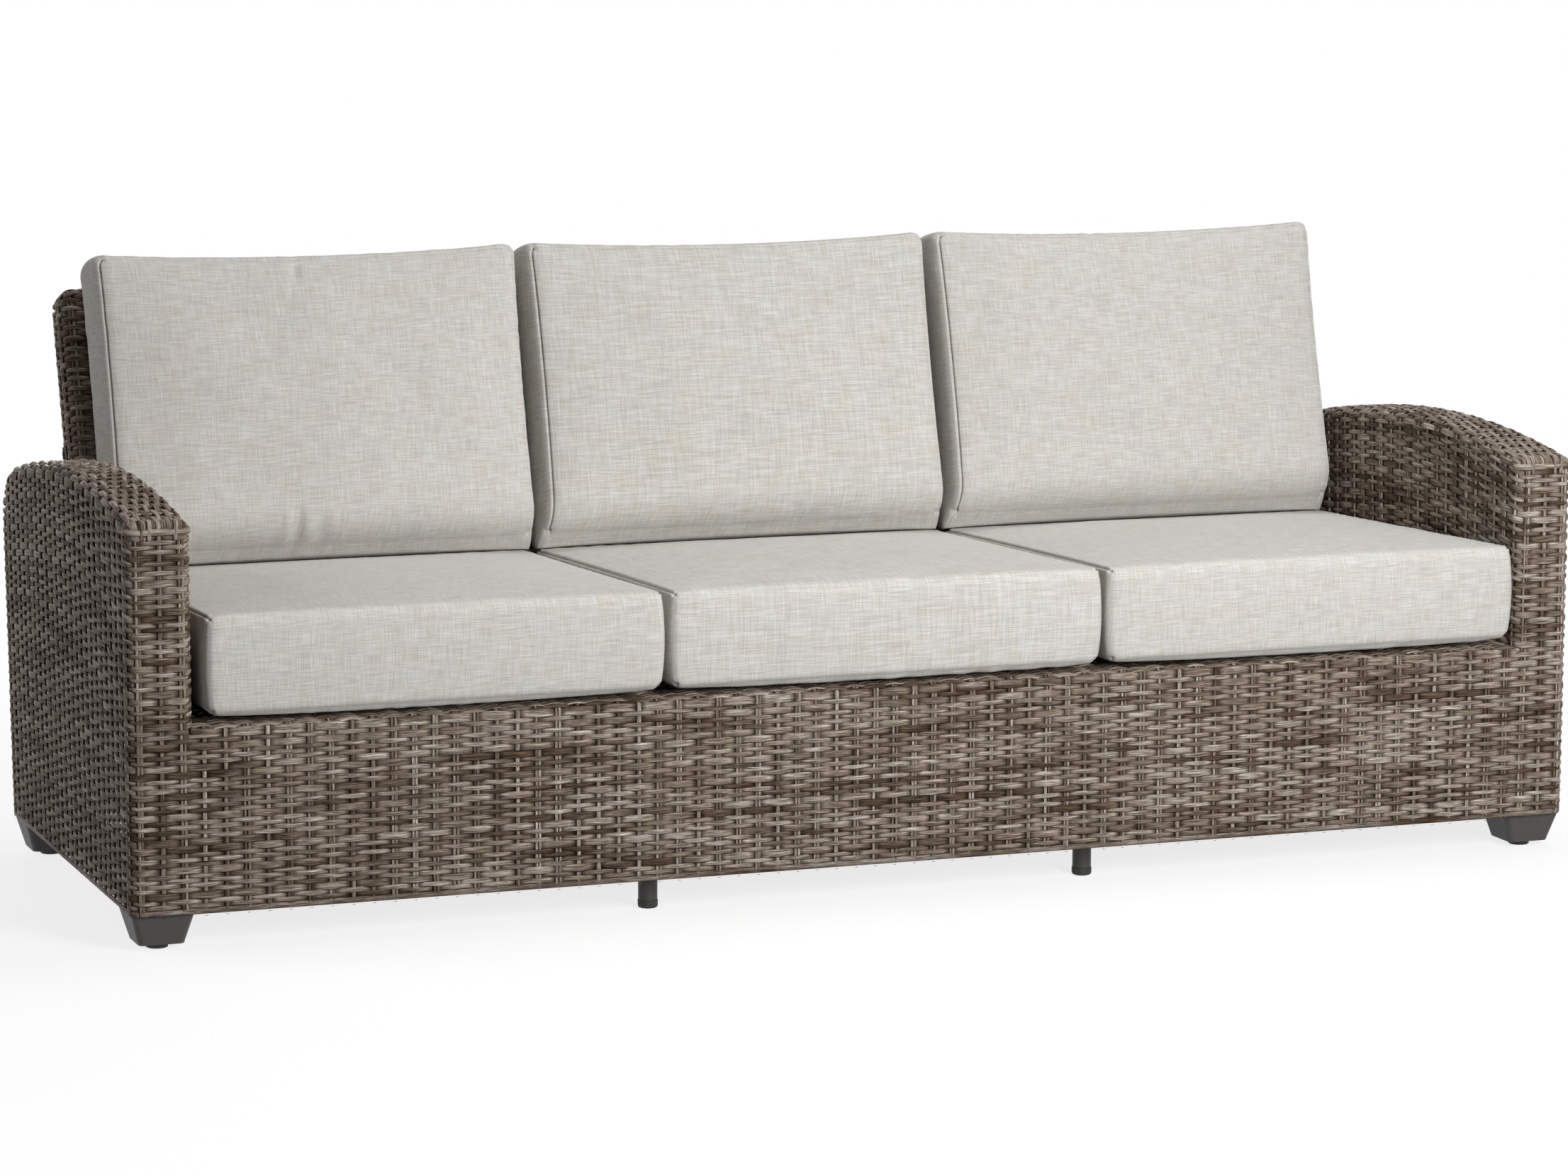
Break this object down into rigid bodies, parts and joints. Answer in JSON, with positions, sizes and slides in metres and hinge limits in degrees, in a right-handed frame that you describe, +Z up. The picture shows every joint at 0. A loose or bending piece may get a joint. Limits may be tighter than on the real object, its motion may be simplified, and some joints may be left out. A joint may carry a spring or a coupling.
{
  "type": "rattan garden sofa",
  "caption": "Long woven resin garden sofa with arched slab arms, a raked back, a skirt to near the floor, tapered feet and loose pale box cushions.",
  "frame": {"origin": "on the floor under the centre of the sofa's bounding box", "axes": "+X along the seat, to the right as seen by someone in front of it; -Y the way the sofa faces; +Z up"},
  "size_m": [2.25, 0.8866, 0.9158],
  "materials": {
    "frame_coat": "satin",
    "resin_wicker": "satin",
    "foot_coat": "satin",
    "leg_coat": "satin",
    "black_nylon": "matte",
    "plated_steel": "satin",
    "linen_fabric": "matte"
  },
  "bodies": {
    "frame": {"arm_front_post_left": "frame_coat", "arm_rear_post_left": "frame_coat", "arm_top_rail_left": "frame_coat", "arm_bottom_rail_left": "frame_coat", "arm_seat_rail_left": "frame_coat", "arm_front_post_right": "frame_coat", "arm_rear_post_right": "frame_coat", "arm_top_rail_right": "frame_coat", "arm_bottom_rail_right": "frame_coat", "arm_seat_rail_right": "frame_coat", "seat_front_rail": "frame_coat", "seat_rear_rail": "frame_coat", "base_front_rail": "frame_coat", "base_rear_rail": "frame_coat", "seat_slat_left": "frame_coat", "seat_bearer_left": "frame_coat", "seat_slat_middle": "frame_coat", "seat_bearer_right": "frame_coat", "seat_slat_right": "frame_coat", "back_top_rail": "frame_coat", "back_post_left": "frame_coat", "back_post_middle_left": "frame_coat", "back_post_middle_right": "frame_coat", "back_post_right": "frame_coat", "rear_post_left": "frame_coat", "rear_post_right": "frame_coat", "arm_weave_left": "resin_wicker", "arm_weave_right": "resin_wicker", "front_weave": "resin_wicker", "deck_weave": "resin_wicker", "back_weave": "resin_wicker", "rear_weave": "resin_wicker", "foot_front_left": "foot_coat", "foot_front_right": "foot_coat", "foot_rear_left": "foot_coat", "foot_rear_right": "foot_coat", "support_leg_front_left": "leg_coat", "support_leg_front_right": "leg_coat", "support_leg_rear_left": "leg_coat", "support_leg_rear_right": "leg_coat", "support_cap_front_left": "black_nylon", "support_cap_front_right": "black_nylon", "support_cap_rear_left": "black_nylon", "support_cap_rear_right": "black_nylon"},
    "seat_cushion_left": {"seat_cushion_left": "linen_fabric"},
    "seat_cushion_middle": {"seat_cushion_middle": "linen_fabric"},
    "seat_cushion_right": {"seat_cushion_right": "linen_fabric"},
    "back_cushion_left": {"back_cushion_left": "linen_fabric"},
    "back_cushion_middle": {"back_cushion_middle": "linen_fabric"},
    "back_cushion_right": {"back_cushion_right": "linen_fabric"},
    "leveller_front_left": {"leveller_pad_front_left": "black_nylon", "leveller_stud_front_left": "plated_steel"},
    "leveller_front_right": {"leveller_pad_front_right": "black_nylon", "leveller_stud_front_right": "plated_steel"},
    "leveller_rear_left": {"leveller_pad_rear_left": "black_nylon", "leveller_stud_rear_left": "plated_steel"},
    "leveller_rear_right": {"leveller_pad_rear_right": "black_nylon", "leveller_stud_rear_right": "plated_steel"}
  },
  "joints": [
    {"name": "seat_cushion_left_slide", "type": "slide", "parent": "frame", "child": "seat_cushion_left", "axis": [0, -1, 0], "range_m": [0, 0.3]},
    {"name": "seat_cushion_middle_slide", "type": "slide", "parent": "frame", "child": "seat_cushion_middle", "axis": [0, -1, 0], "range_m": [0, 0.3]},
    {"name": "seat_cushion_right_slide", "type": "slide", "parent": "frame", "child": "seat_cushion_right", "axis": [0, -1, 0], "range_m": [0, 0.3]},
    {"name": "back_cushion_left_lift", "type": "slide", "parent": "frame", "child": "back_cushion_left", "axis": [0, 0, 1], "range_m": [0, 0.45]},
    {"name": "back_cushion_middle_lift", "type": "slide", "parent": "frame", "child": "back_cushion_middle", "axis": [0, 0, 1], "range_m": [0, 0.45]},
    {"name": "back_cushion_right_lift", "type": "slide", "parent": "frame", "child": "back_cushion_right", "axis": [0, 0, 1], "range_m": [0, 0.45]},
    {"name": "leveller_front_left_turn", "type": "hinge", "parent": "frame", "child": "leveller_front_left", "pos_m": [-1.077, -0.3751, 0], "axis": [0, 0, 1], "continuous": true},
    {"name": "leveller_front_right_turn", "type": "hinge", "parent": "frame", "child": "leveller_front_right", "pos_m": [1.077, -0.3751, 0], "axis": [0, 0, 1], "continuous": true},
    {"name": "leveller_rear_left_turn", "type": "hinge", "parent": "frame", "child": "leveller_rear_left", "pos_m": [-1.077, 0.3049, 0], "axis": [0, 0, 1], "continuous": true},
    {"name": "leveller_rear_right_turn", "type": "hinge", "parent": "frame", "child": "leveller_rear_right", "pos_m": [1.077, 0.3049, 0], "axis": [0, 0, 1], "continuous": true}
  ]
}
